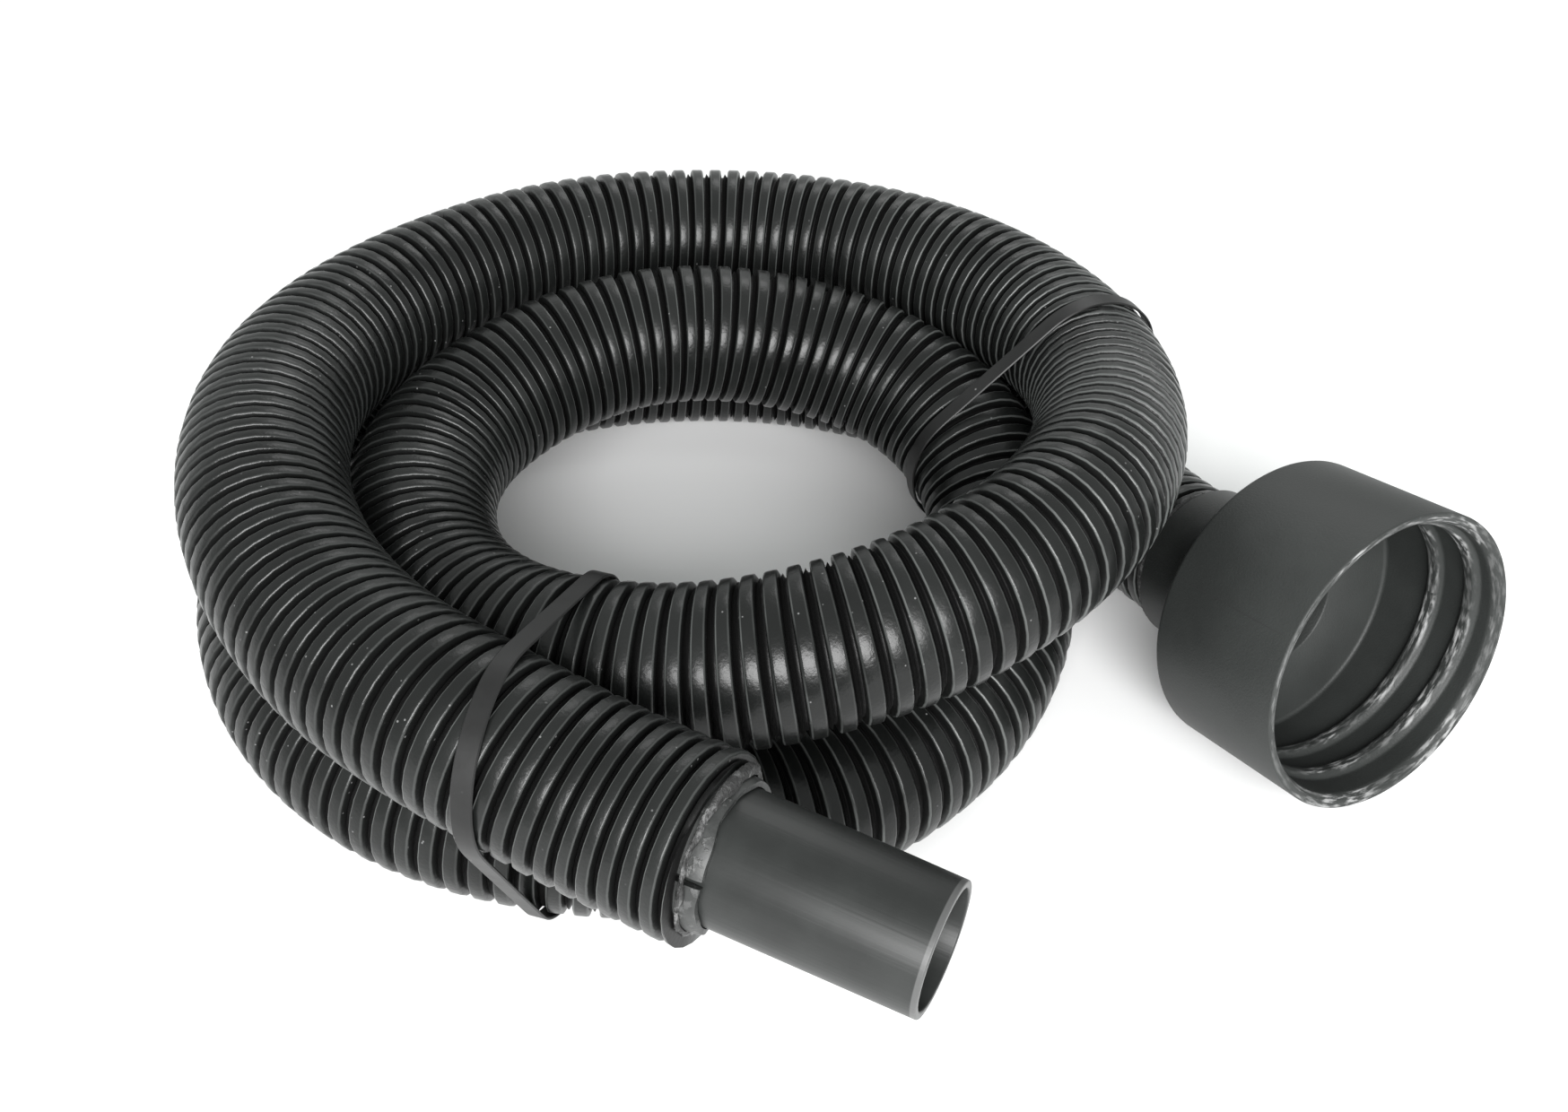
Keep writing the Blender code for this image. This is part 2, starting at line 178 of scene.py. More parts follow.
def spline(points, at):
    """Natural cubic spline: bends (second derivatives) from a linear system, a cubic between two knots.

    With h the span, a after the last knot and b before the next: (m0 b^3 + m1 a^3) / 6h + the straight parts.
    """
    knots = steps_along(points)
    spans = np.diff(knots)
    size = len(points)
    inside = np.arange(1, size - 1)
    system = np.eye(size)
    system[inside, inside - 1] = spans[:-1]
    system[inside, inside] = 2 * (spans[:-1] + spans[1:])
    system[inside, inside + 1] = spans[1:]
    slopes = np.diff(points, axis=0) / spans[:, None]
    right = np.zeros((size, 3))
    right[1:-1] = 6 * np.diff(slopes, axis=0)
    bend = np.linalg.solve(system, right)
    i = np.clip(np.searchsorted(knots, at, side="right") - 1, 0, size - 2)
    span = spans[i][:, None]
    after = (at - knots[i])[:, None]
    before = span - after
    cubic = (bend[i] * before**3 + bend[i + 1] * after**3) / (6 * span)
    return cubic + (points[i] / span - bend[i] * span / 6) * before + (
        points[i + 1] / span - bend[i + 1] * span / 6) * after


def evenly(points, count):
    """The same line read at even steps of its length."""
    reached = steps_along(points)
    at = np.linspace(0.0, reached[-1], count)
    return np.column_stack([np.interp(at, reached, points[:, axis]) for axis in range(3)])


def eased(points, reach):
    """Each point becomes the mean of those within reach of it. Straight run-outs keep both ends in place."""
    half = int(round(reach / PATH_STEP))
    before = points[0] + (points[0] - points[1]) * np.arange(half, 0, -1)[:, None]
    after = points[-1] + (points[-1] - points[-2]) * np.arange(1, half + 1)[:, None]
    padded = np.vstack([before, points, after])
    kernel = np.ones(2 * half + 1) / (2 * half + 1)
    return np.column_stack([np.convolve(padded[:, axis], kernel, mode="valid") for axis in range(3)])


def frames_along(path):
    """Tangent, side and up at each point; up is the last one less its part along the tangent, so no twist."""
    tangents = np.gradient(path, axis=0)
    tangents /= np.linalg.norm(tangents, axis=1)[:, None]
    up = np.array((0.0, 0.0, 1.0))
    ups = []
    for tangent in tangents:
        up = up - tangent * np.dot(up, tangent)
        up = up / np.linalg.norm(up)
        ups.append(up)
    ups = np.array(ups)
    return tangents, np.cross(tangents, ups), ups


fine = spline(route, np.linspace(0.0, steps_along(route)[-1], SPLINE_STEPS))
hose_length = float(steps_along(fine)[-1])
path = eased(evenly(fine, int(hose_length / PATH_STEP) + 1), EASING)
hose_length = float(steps_along(path)[-1])
path_tangents, path_sides, path_ups = frames_along(path)
bends = np.linalg.norm(np.gradient(path_tangents, axis=0), axis=1) / PATH_STEP
print(f"hose length {hose_length:.3f} m, tightest bend {1000 / bends.max():.0f} mm radius")

# %% [markdown]
# ## Meshes from grids
#
# Every shape below is a grid of points worked out with numpy.
# One helper puts the grid into a mesh, gives it the UV map that comes with it, and welds coinciding points.
# Maps are in metres, apart from the hose's own, which counts ribs.
# Welding matters at seams and poles, where a grid has several points in one place.
# Blender's own primitives would be quicker for a plain tube, but not for a sheared or lumpy one.

# %% Grid helpers
WELD = 2e-6
SLIVER = WELD / 10


def grid_faces(rows, columns, wrap=0):
    """Quads of a grid. The last column joins the first one, wrap rows further on; None leaves it open."""
    index = np.arange(rows * columns).reshape(rows, columns)
    inner = np.stack([index[:-1, :-1], index[:-1, 1:], index[1:, 1:], index[1:, :-1]], axis=-1).reshape(-1, 4)
    if wrap is None:
        return inner
    last = index[:rows - 1 - wrap, -1]
    following = index[1:rows - wrap, -1]
    seam = np.stack([last, index[wrap:rows - 1, 0], index[1 + wrap:, 0], following], axis=-1)
    return np.vstack([inner, seam])


def piece_from_grids(name, grids, flat_angle=40, highlight_share=None):
    """One closed mesh from grids of (points, uv, wrap): quads, a UV per corner, welded, faces turned outward.

    At a wrap the map runs on: the last quad's far corners get one whole turn more than the first column.
    The last argument, when given, is a number per point that the piece's material reads as an attribute of
    the same name; the cap uses it for where a highlight is painted.
    """
    points, faces, corners = [], [], []
    count = 0
    for grid, uv, wrap in grids:
        rows, columns = grid.shape[:2]
        quads = grid_faces(rows, columns, wrap)
        corner = uv.reshape(-1, 2)[quads]
        if wrap is not None:
            seam = slice((rows - 1) * (columns - 1), None)
            turn = uv[0, 1, 1] - uv[0, 0, 1]
            corner[seam, 1:3, 1] += turn * columns
        points.append(grid.reshape(-1, 3))
        faces.append(quads + count)
        corners.append(corner.reshape(-1, 2))
        count += rows * columns
    points, faces, corners = np.vstack(points), np.vstack(faces), np.vstack(corners)
    mesh = bpy.data.meshes.new(name)
    mesh.vertices.add(len(points))
    mesh.vertices.foreach_set("co", points.astype(np.float32).ravel())
    mesh.loops.add(faces.size)
    mesh.loops.foreach_set("vertex_index", faces.astype(np.int32).ravel())
    mesh.polygons.add(len(faces))
    mesh.polygons.foreach_set("loop_start", np.arange(0, faces.size, 4, dtype=np.int32))
    mesh.update(calc_edges=True)
    if highlight_share is not None:
        painted = mesh.attributes.new("highlight_share", "FLOAT", "POINT")
        painted.data.foreach_set("value", highlight_share.astype(np.float32).ravel())
    layer = mesh.uv_layers.new(name="UVMap")
    layer.data.foreach_set("uv", corners.astype(np.float32).ravel())
    bm = bmesh.new()
    bm.from_mesh(mesh)
    bmesh.ops.remove_doubles(bm, verts=bm.verts, dist=WELD)
    bmesh.ops.dissolve_degenerate(bm, edges=bm.edges, dist=SLIVER)
    bmesh.ops.recalc_face_normals(bm, faces=bm.faces)
    open_edges = sum(1 for edge in bm.edges if len(edge.link_faces) != 2)
    bm.to_mesh(mesh)
    bm.free()
    mesh.shade_smooth()
    mesh.set_sharp_from_angle(angle=math.radians(flat_angle))
    made = bpy.data.objects.new(name, mesh)
    bpy.context.scene.collection.objects.link(made)
    triangles = sum(len(face.vertices) - 2 for face in mesh.polygons)
    print(f"{name}: {triangles} triangles, {open_edges} open edges")
    return made


print("grid helpers ready")

# %% [markdown]
# ## Shader maths as Python
#
# A material is a small program, and it reads best as one.
# `Value` wraps a socket, so `1 - mask * 0.5` adds the Math nodes that it names.
# `Finish` holds one material and has a single method for every other kind of node.

# %% Shader helpers
class Value:
    """A number, colour or vector in a material. Its operators add Math nodes."""

    def __init__(self, finish, socket):
        self.finish = finish
        self.socket = socket

    def maths(self, operation, first, second):
        """A Math node on two numbers, either of which may be a plain one."""
        return self.finish.node("Math", {"operation": operation}, {0: first, 1: second})

    def __add__(self, other):
        return self.maths("ADD", self, other)

    def __radd__(self, other):
        return self.maths("ADD", other, self)

    def __sub__(self, other):
        return self.maths("SUBTRACT", self, other)

    def __rsub__(self, other):
        return self.maths("SUBTRACT", other, self)

    def __mul__(self, other):
        return self.maths("MULTIPLY", self, other)

    def __rmul__(self, other):
        return self.maths("MULTIPLY", other, self)

    def __pow__(self, other):
        return self.maths("POWER", self, other)

    def fraction(self):
        """What is left after taking whole numbers away."""
        return self.maths("FRACT", self, 0.0)

    def between(self, low, high):
        """0 below low, 1 above high, a smooth rise between them."""
        return self.finish.node(
            "MapRange",
            {"interpolation_type": "SMOOTHSTEP"},
            {"Value": self, "From Min": low, "From Max": high},
        )


class Finish:
    """One material: a Principled shader with constants, and one way to add any node."""

    def __init__(self, name, **constants):
        self.material = bpy.data.materials.new(name)
        self.material.use_nodes = True
        self.tree = self.material.node_tree
        self.shader = self.tree.nodes["Principled BSDF"]
        self.feed(**constants)

    def node(self, kind, settings=None, inputs=None, output=0):
        """Adds a node of a type, sets its settings first, then its sockets' values or links."""
        made = self.tree.nodes.new("ShaderNode" + kind)
        for key, value in (settings or {}).items():
            setattr(made, key, value)
        for key, value in (inputs or {}).items():
            self.put(made.inputs[key], value)
        return Value(self, made.outputs[output])

    def put(self, socket, value):
        """Links a value to a socket, or sets the socket to a plain number or colour."""
        if isinstance(value, Value):
            self.tree.links.new(value.socket, socket)
        else:
            socket.default_value = value

    def feed(self, **inputs):
        """Sets or links the shader's own sockets; an underscore in a name stands for a space."""
        for key, value in inputs.items():
            self.put(self.shader.inputs[key.replace("_", " ")], value)

    def place(self):
        """The point's place on the object, in metres."""
        return self.node("TexCoord", output=3)

    def map_parts(self):
        """The piece's own UV map as two numbers."""
        uv = self.node("UVMap", {"uv_map": "UVMap"})
        first = self.node("SeparateXYZ", {}, {"Vector": uv})
        second = Value(self, first.socket.node.outputs[1])
        return first, second

    def vector(self, x, y):
        """Two numbers as a place on a flat pattern."""
        return self.node("CombineXYZ", {}, {0: x, 1: y})

    def highlight_share(self):
        """The number painted on each point."""
        return self.node("Attribute", {"attribute_name": "highlight_share"}, output=2)

    def noise(self, where, scale, detail=3.0, roughness=0.55):
        """Soft random patches about 1 / scale metres across, from 0 to 1."""
        return self.node("TexNoise", {}, {
            "Vector": where, "Scale": scale, "Detail": detail, "Roughness": roughness,
        })

    def specks(self, where, scale, size):
        """1 inside round dots scattered on cells of 1 / scale metres, 0 elsewhere."""
        away = self.node("TexVoronoi", {"feature": "F1"}, {"Vector": where, "Scale": scale})
        return 1 - away.between(size * 0.5, size)

    def mix(self, share, first, second):
        """A colour between two, by share."""
        return self.node("Mix", {"data_type": "RGBA"}, {0: share, 6: first, 7: second}, output=2)

    def bump(self, height, strength, distance):
        """Tilts the surface's normal by a height."""
        return self.node("Bump", {}, {"Height": height, "Strength": strength, "Distance": distance})


def grey(value, green=0.0):
    """A near neutral colour: green takes a share from red and half as much from blue."""
    return (value * (1 - green), value, value * (1 - green / 2), 1.0)


print("shader helpers ready")

# %% [markdown]
# ## The hose's ribs
#
# The hose is a strip of black plastic wound in a helix: a wide rounded rib, a narrow groove and a small lip.
# Rings stacked along the tube would be simpler, but a helix gives the slight slant of the real ribs.
# The grid is therefore sheared: its rows follow the helix, and the last column joins the first one a turn on.
# Points that would lie past a cut end are held at the cut, which trims the last rib square.
# The hose is stretched in some places and squeezed in others, so the length of a rib changes along it.

# %% Hose shape
HOSE_COLUMNS = 29
HOSE_BORE = 0.037
BORE_OPEN_AT_CAP = 0.012
# millimetres along the hose, length of one rib in millimetres
RIB_PITCHES = np.array([
    (0, 5.5), (100, 5.3), (180, 4.9), (250, 6.1), (300, 6.4), (430, 6.3),
    (520, 5.9), (620, 5.3), (670, 5.4), (745, 6.7), (800, 5.6), (900, 5.4),
    (960, 5.9), (1010, 5.6), (1100, 6.1), (1270, 6.8), (1360, 5.9), (1900, 6.0),
])
GROOVE_DEPTH = 0.0027
LIP_DEPTH = 0.0014
# share of a rib's length, depth below the crest in metres: rise, crest, fall, groove, lip
RIB = np.array([
    (0.00, GROOVE_DEPTH), (0.03, 0.0006), (0.08, 0.0001), (0.14, 0.0),
    (0.53, 0.0), (0.60, 0.0001), (0.65, 0.0006), (0.685, GROOVE_DEPTH),
    (0.78, GROOVE_DEPTH), (0.86, LIP_DEPTH),
])
path_at = steps_along(path)
rib_lengths = np.interp(path_at, RIB_PITCHES[:, 0] / 1000, RIB_PITCHES[:, 1] / 1000)
ribs_passed = np.concatenate([[0.0], np.cumsum(np.diff(path_at) / rib_lengths[1:])])


def rib_depth(share):
    """Depth below the crest at a share of a rib, straight between the outline's corners."""
    shares = np.append(RIB[:, 0], 1.0)
    depths = np.append(RIB[:, 1], RIB[0, 1])
    return np.interp(share % 1.0, shares, depths)


def tube_points(along, angle, radius):
    """Points at a distance along the path, an angle and a radius: centre + r (cos side + sin up)."""
    at = along / hose_length * (len(path) - 1)
    low = np.clip(np.floor(at).astype(int), 0, len(path) - 2)
    part = (at - low)[..., None]
    centre = path[low] * (1 - part) + path[low + 1] * part
    side = path_sides[low] * (1 - part) + path_sides[low + 1] * part
    up = path_ups[low] * (1 - part) + path_ups[low + 1] * part
    return centre + radius[..., None] * (np.cos(angle)[..., None] * side + np.sin(angle)[..., None] * up)


def hose_wall():
    """Rows follow the helix: ribs passed = whole ribs + share + angle / a full turn, held inside the cuts."""
    per_rib = len(RIB)
    row = np.arange(per_rib * (math.ceil(ribs_passed[-1]) + 3))
    column = np.arange(HOSE_COLUMNS) / HOSE_COLUMNS
    passed = (row // per_rib - 1 + RIB[row % per_rib, 0])[:, None] + column[None, :]
    along = np.interp(passed, ribs_passed, path_at)
    passed = np.clip(passed, 0.0, ribs_passed[-1])
    turn = np.broadcast_to(column, along.shape)
    points = tube_points(along, turn * 2 * math.pi, HOSE_OD / 2 - rib_depth(passed - turn))
    return points, np.stack([passed, turn], axis=-1), per_rib


def hose_end(along, depth, rim):
    """The cut face and some bore: the rim's points, the bore's edge, the bore's end and its middle point."""
    turn = np.arange(HOSE_COLUMNS) / HOSE_COLUMNS
    rows = [rim]
    for at, radius in ((along, HOSE_BORE / 2), (along + depth, HOSE_BORE / 2), (along + depth, 0.0)):
        ring = (np.full(HOSE_COLUMNS, at), turn * 2 * math.pi, np.full(HOSE_COLUMNS, radius))
        rows.append(tube_points(*ring))
    on_crest = np.full((len(rows), 1), 0.3)
    uv = np.stack(np.broadcast_arrays(on_crest, turn[None, :]), axis=-1)
    return np.array(rows), uv, 0


print(f"{int(ribs_passed[-1])} ribs of {rib_lengths.min() * 1000:.1f} to {rib_lengths.max() * 1000:.1f} mm")

# %% [markdown]
# ## The hose's finish
# Thin highlights along the ribs' shoulders are painted into the colour as well.
#
# Black plastic has hardly any colour: what is seen is its gloss, its dust and the darkness between the ribs,
# which is painted into the grooves as shade.
# The hose's map counts ribs, so the share of a rib comes from two numbers and a fraction.
# A picture of stripes would do the same, but it would blur close up and need a file.

# %% Hose material
def hose_finish():
    """Black plastic with painted shade in the grooves, painted highlight lines along the ribs' shoulders,
    dust on the crests and patches scuffed duller.
    """
    finish = Finish("hose_black", Specular_IOR_Level=0.28)
    passed, turn = finish.map_parts()
    share = (passed - turn).fraction()
    # Painted shade: the grooves get a darker colour than the crests.
    groove = share.between(0.64, 0.69) + (1 - share.between(0.0, 0.04))
    place = finish.place()
    patches = finish.noise(place, 28, 4)
    grain = finish.noise(place, 900, 2)
    dust = finish.specks(place, 330, 0.11) * finish.noise(place, 60, 2).between(0.52, 0.62) * (1 - groove)
    crest = finish.mix(patches.between(0.35, 0.75), grey(0.006, 0.08), grey(0.011, 0.08))
    # Painted highlight: thin pale lines along both shoulders of each rib, stronger on the far one, broken by
    # patches.
    far_shoulder_highlight = share.between(0.555, 0.585) - share.between(0.62, 0.65)
    near_shoulder_highlight = share.between(0.04, 0.07) - share.between(0.10, 0.14)
    edge = (far_shoulder_highlight + near_shoulder_highlight * 0.35) * patches.between(0.25, 0.6)
    colour = finish.mix(groove, finish.mix(edge, crest, grey(0.085, 0.05)), grey(0.004))
    finish.feed(
        Base_Color=finish.mix(dust * 0.4, colour, grey(0.35)),
        Roughness=(0.22 + patches * 0.16 + dust * 0.3) + groove * 0.15,
        Normal=finish.bump(grain * 0.6 + patches, 0.22, 0.0006),
    )
    return finish.material


wall = hose_wall()
hose = piece_from_grids("ribbed_hose", [
    wall,
    hose_end(0.0, PIPE_INSERT, wall[0][0]),
    hose_end(hose_length, -BORE_OPEN_AT_CAP, wall[0][-1]),
], flat_angle=75)
hose.data.materials.append(hose_finish())
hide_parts("hose")
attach(hose, "root")

# %% [markdown]
# ## Round pieces about an axis
#
# Both ends of the hose are turned shapes, so one function lays rings of points about an axis.
# Each point has a distance along the axis, an angle and a radius, and any of them may vary round the ring.
# That is what makes a lumpy glue bead or a screw thread out of the same few lines.

# %% Turned shapes
def about(origin, axis, along, angle, radius):
    """Points about an axis: origin + along * axis + radius (cos side + sin up), up being nearest to +Z."""
    side = np.cross((0.0, 0.0, 1.0), axis)
    side = side / np.linalg.norm(side)
    up = np.cross(axis, side)
    along, angle, radius = np.broadcast_arrays(along, angle, radius)
    return (
        origin + along[..., None] * axis
        + radius[..., None] * (np.cos(angle)[..., None] * side + np.sin(angle)[..., None] * up)
    )


def corner_arc(centre, reach, start, end, count=4):
    """Profile points on an arc about (along, radius), from one angle to another in degrees."""
    angle = np.radians(np.linspace(start, end, count))
    return [(centre[0] + reach * math.cos(a), centre[1] + reach * math.sin(a)) for a in angle]


def profile_map(profile, columns, radius):
    """UV of a turned grid: distance along the profile, distance round the piece, both in metres."""
    along = steps_along(np.array(profile))
    around = np.arange(columns) / columns * 2 * math.pi * radius
    return np.stack(np.broadcast_arrays(along[:, None], around[None, :]), axis=-1)


def turned_grid(origin, axis, profile, columns):
    """A closed profile of (along, radius) turned about an axis."""
    profile = list(profile) + [profile[0]]
    outline = np.array(profile)
    angle = np.arange(columns) / columns * 2 * math.pi
    points = about(origin, axis, outline[:, :1], angle[None, :], outline[:, 1:])
    return points, profile_map(profile, columns, outline[:, 1].max()), 0


def waves(angle, terms):
    """An uneven ring: the sum of sizes times cos(count * angle + start)."""
    return sum(size * np.cos(count * angle + start) for count, size, start in terms)


print("turned shapes ready")

# %% [markdown]
# ## Nozzle pipe
#
# A plain pipe, slightly tapered so that it wedges into a fitting, with a thin lip left by the saw.
# A turned profile gives the outside, the square mouth and the bore in one loop.
# A cylinder with a Solidify modifier would be as quick, but would leave no place for the lip and the taper.
# Fine drawing lines run along the pipe, far too fine for a mesh, so they are left to the material.

# %% Nozzle pipe
SLEEVE_WALL = 0.0019
SLEEVE_REACH = 0.0048
PIPE_OD = HOSE_BORE - 2 * (SLEEVE_WALL + 2 * GAP)
PIPE_MOUTH_OD = PIPE_OD - 0.0016
PIPE_WALL = 0.0018
PIPE_REACH = 0.054
LIP = 0.0004
LIP_FADE = 0.0003


def nozzle_profile():
    """Outside to the mouth, the lip and the bore back again, as (along from the hose's cut end, radius)."""
    mouth = PIPE_MOUTH_OD / 2
    bore = mouth - PIPE_WALL
    profile = [(-PIPE_INSERT, bore), (-PIPE_INSERT, PIPE_OD / 2), (SLEEVE_REACH, PIPE_OD / 2)]
    profile += corner_arc((PIPE_REACH - LIP, mouth - LIP), LIP, 90, 0)
    profile += corner_arc((PIPE_REACH - LIP, bore + LIP), LIP, 0, -90)
    return profile


def pipe_finish():
    """Dark grey plastic with fine lines along it, soft patches, a painted highlight round the cut lip and a
    few nicks.
    """
    finish = Finish("pipe_grey", Specular_IOR_Level=0.36)
    along, around = finish.map_parts()
    lines = finish.noise(finish.vector(along * 14, around * 900), 1.0, 3)
    patches = finish.noise(finish.place(), 60, 4)
    lip_at = PIPE_INSERT + PIPE_REACH + (PIPE_OD / 2 - PIPE_MOUTH_OD / 2 + PIPE_WALL)
    lip_start = lip_at - 0.0014
    lip_end = lip_at + 0.0012
    # Painted highlight: a paler band round the cut lip at the mouth.
    lip_highlight = along.between(lip_start, lip_start + LIP_FADE) - along.between(lip_end, lip_end + LIP_FADE)
    nicks = finish.specks(finish.place(), 95, 0.05)
    body = finish.mix(patches.between(0.3, 0.75), grey(0.012, 0.08), grey(0.019, 0.08))
    body = finish.mix(nicks * 0.5, body, grey(0.015))
    finish.feed(
        Base_Color=finish.mix(lip_highlight * 0.4, body, grey(0.16)),
        Roughness=0.33 + lines * 0.10 + patches * 0.06,
        Normal=finish.bump(lines, 0.12, 0.0004),
    )
    return finish.material


nozzle = piece_from_grids("nozzle_tube", [turned_grid(cut_end, nozzle_axis, nozzle_profile(), 96)])
nozzle.data.materials.append(pipe_finish())
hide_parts("nozzle_pipe")
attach(nozzle, "root")

# %% [markdown]
# ## Packing sleeve
#
# A split band of thin plastic fills the space between the pipe and the hose.
# Only its front edge shows, as a step behind the glue.
# It is swept round from one side of the slit to the other, so that the slit is a real gap.
# Its front edge wanders as a hand-cut edge does. Cutting a slit with a Boolean would leave untidy faces.

# %% Sleeve
SLEEVE_SLIT = 0.0018
SLEEVE_SLIT_ANGLE = math.radians(149)
SLEEVE_STEPS = 120
INSIDE_MAP = 0.1


def sleeve_grids():
    """Rows go round the pipe, columns out along the outside and back inside; two grids close the slit."""
    inner = PIPE_OD / 2 + GAP
    outer = inner + SLEEVE_WALL
    half_slit = SLEEVE_SLIT / 2 / outer
    first = SLEEVE_SLIT_ANGLE + half_slit
    last = SLEEVE_SLIT_ANGLE + 2 * math.pi - half_slit
    angle = np.linspace(first, last, SLEEVE_STEPS)
    wander = waves(angle, [(2, 0.0006, 0.4), (5, 0.0003, 1.0), (11, 0.00015, 2.0)]) - 0.0004
    front = (SLEEVE_REACH + wander)[:, None]
    share = np.array([0.0, 0.5, 0.9, 0.97, 1.0])[None, :]
    along = -PIPE_INSERT + (front + PIPE_INSERT) * share
    dulled = np.array([0.0, 0.0, 0.0, 0.0002, 0.0006])[None, :]
    outside = about(cut_end, nozzle_axis, along, angle[:, None], outer - dulled)
    inside = about(cut_end, nozzle_axis, along, angle[:, None], inner)
    loop = np.concatenate([outside, inside[:, ::-1]], axis=1)
    around = np.broadcast_to((angle * outer)[:, None], loop.shape[:2])
    loop_along = np.concatenate([along, along[:, ::-1] + INSIDE_MAP], axis=1)
    grids = [(loop, np.stack([around, loop_along], axis=-1), 0)]
    for end in (0, -1):
        edge = np.array([outside[end], inside[end]])
        uv = np.stack(np.broadcast_arrays(np.array([[0.0], [0.002]]), along[end][None, :]), axis=-1)
        grids.append((edge, uv, None))
    return grids


def sleeve_finish():
    """The same grey as the pipe, scuffed paler, with glue smears."""
    finish = Finish("sleeve_grey", Specular_IOR_Level=0.5)
    place = finish.place()
    patches = finish.noise(place, 170, 5)
    smear = finish.noise(place, 420, 4).between(0.54, 0.66)
    body = finish.mix(patches.between(0.35, 0.7), grey(0.017, 0.06), grey(0.038, 0.04))
    finish.feed(
        Base_Color=finish.mix(smear * 0.35, body, grey(0.12)),
        Roughness=0.38 + patches * 0.2,
        Normal=finish.bump(patches + smear * 0.5, 0.5, 0.0005),
    )
    return finish.material


sleeve = piece_from_grids("sleeve_band", sleeve_grids())
sleeve.data.materials.append(sleeve_finish())
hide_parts("nozzle_sleeve")
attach(sleeve, "root")

# %% [markdown]
# ## Glue beads
#
# Hand-laid glue is never an even ring: it piles up, thins out and leaves a crumbly skin.
# The bead is a ring of rounded sections whose width and height follow a few slow waves and many small ones.
# Sculpting would look as real, but waves written as a sum can be changed and give the same bead each time.

# %% Glue beads
BEAD_STEPS = 260
BEAD_SECTION = 12


def bead_grid(origin, axis, way, inner, bead):
    """Sections round an axis, a flat foot and a dome, from the bead's height and reach at each angle.

    Along = reach (1 - cos t) / 2 and radius = inner + height sin(t) ^ 0.7, t from 0 to half a turn, rippled.
    """
    angle = np.arange(BEAD_STEPS) / BEAD_STEPS * 2 * math.pi
    height, reach = bead(angle)
    ripple = waves(angle[:, None] * np.ones(BEAD_SECTION), [
        (37, 0.00016, 0.3), (53, 0.00012, 1.9), (71, 0.00012, 4.0),
    ]) * np.cos(np.arange(BEAD_SECTION) * 2.4)[None, :]
    dome = np.linspace(0.0, math.pi, BEAD_SECTION)[None, :]
    along = reach[:, None] * (1 - np.cos(dome)) / 2 + GAP
    radius = inner + GAP + (height[:, None] * np.sin(dome) ** 0.7 + ripple * np.sin(dome)).clip(0.0)
    points = about(origin, axis, way * along, angle[:, None], radius)
    around = np.broadcast_to((angle * inner)[:, None], along.shape)
    points = np.concatenate([points, points[:1]], axis=0)
    around = np.concatenate([around, around[:1] + 2 * math.pi * inner], axis=0)
    across = np.concatenate([along + radius, (along + radius)[:1]], axis=0)
    return points, np.stack([around, across], axis=-1), 0


def glue_finish():
    """Dried glue: pale grey, crumbly, darker where it is thin."""
    finish = Finish("dried_glue", Specular_IOR_Level=0.4, Roughness=0.55)
    place = finish.place()
    crumbs = finish.noise(place, 1100, 4)
    thick = finish.noise(place, 210, 3).between(0.42, 0.62)
    pale = finish.mix(crumbs.between(0.35, 0.65), grey(0.04), grey(0.14))
    finish.feed(
        Base_Color=finish.mix(thick, grey(0.02), pale),
        Normal=finish.bump(crumbs, 0.8, 0.0008),
    )
    return finish.material


def nozzle_bead_shape(angle):
    """Height and reach of the glue at the pipe: piled up on top, thin underneath."""
    top = np.exp(3.0 * (np.cos(angle - math.radians(62)) - 1))
    height = 0.0009 + 0.0020 * top + waves(angle, [(3, 0.0003, 0.5), (7, 0.0002, 2.0), (13, 0.0002, 1.0)])
    reach = 0.0010 + 0.0016 * top + waves(angle, [(4, 0.0003, 1.2), (9, 0.0003, 0.2), (17, 0.0002, 2.2)])
    return height, reach


def cap_bead_shape(angle):
    """Height and reach of the glue behind the neck: low and smoother."""
    height = 0.0010 + waves(angle, [(3, 0.00015, 0.1), (8, 0.0001, 2.4), (15, 0.00008, 1.1)])
    reach = 0.0024 + waves(angle, [(2, 0.0003, 0.4), (6, 0.0003, 1.7), (14, 0.0001, 0.3)])
    return height, reach


glue = glue_finish()
sleeve_outside = PIPE_OD / 2 + GAP + SLEEVE_WALL
for name, node, origin, axis, way, inner, shape in (
    ("nozzle_bead", "nozzle_glue", cut_end, nozzle_axis, 1, sleeve_outside, nozzle_bead_shape),
    ("cap_bead", "cap_glue", neck_entry, cap_axis, -1, HOSE_OD / 2, cap_bead_shape),
):
    bead = piece_from_grids(name, [bead_grid(origin, axis, way, inner, shape)], flat_angle=60)
    bead.data.materials.append(glue)
    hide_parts(node)
    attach(bead, "root")

# %% [markdown]
# ## Threaded cap
#
# The cap is one moulding: a neck for the hose, a flat floor and a short wide skirt, threaded inside.
# It is turned from one profile, and the thread is raised from the bore afterwards.
# The thread's height at a point depends on how far it lies from a helix, so one formula gives every turn.
# Blender's Screw modifier would make a thread too, but it would have to be joined to the bore.

# %% Cap
CAP_WALL = 0.0036
CAP_LENGTH = 0.0455
CAP_FLOOR = 0.0056
CAP_LEAD_IN = 0.0012
NECK_WALL = 0.0020
THROAT_BORE = HOSE_BORE - 0.001
THREAD_PITCH = 0.0125
THREAD_TURNS = 1.75
THREAD_HEIGHT = 0.0018
THREAD_WIDTH = 0.0062
THREAD_FIRST = 0.0056
THREAD_START = math.radians(100)
THREAD_FADE = 0.08
THREAD_FLAT = 1.5
BORE_ROWS = 90
CAP_COLUMNS = 160
NECK_FILLET = 0.0015
RIM_ROUNDING = 0.0007
RIM_POINTS = 5
RIM_HIGHLIGHT = 0.85
CAP_MOUTH = NECK_LENGTH + CAP_LENGTH
CAP_BORE = CAP_OD / 2 - CAP_WALL


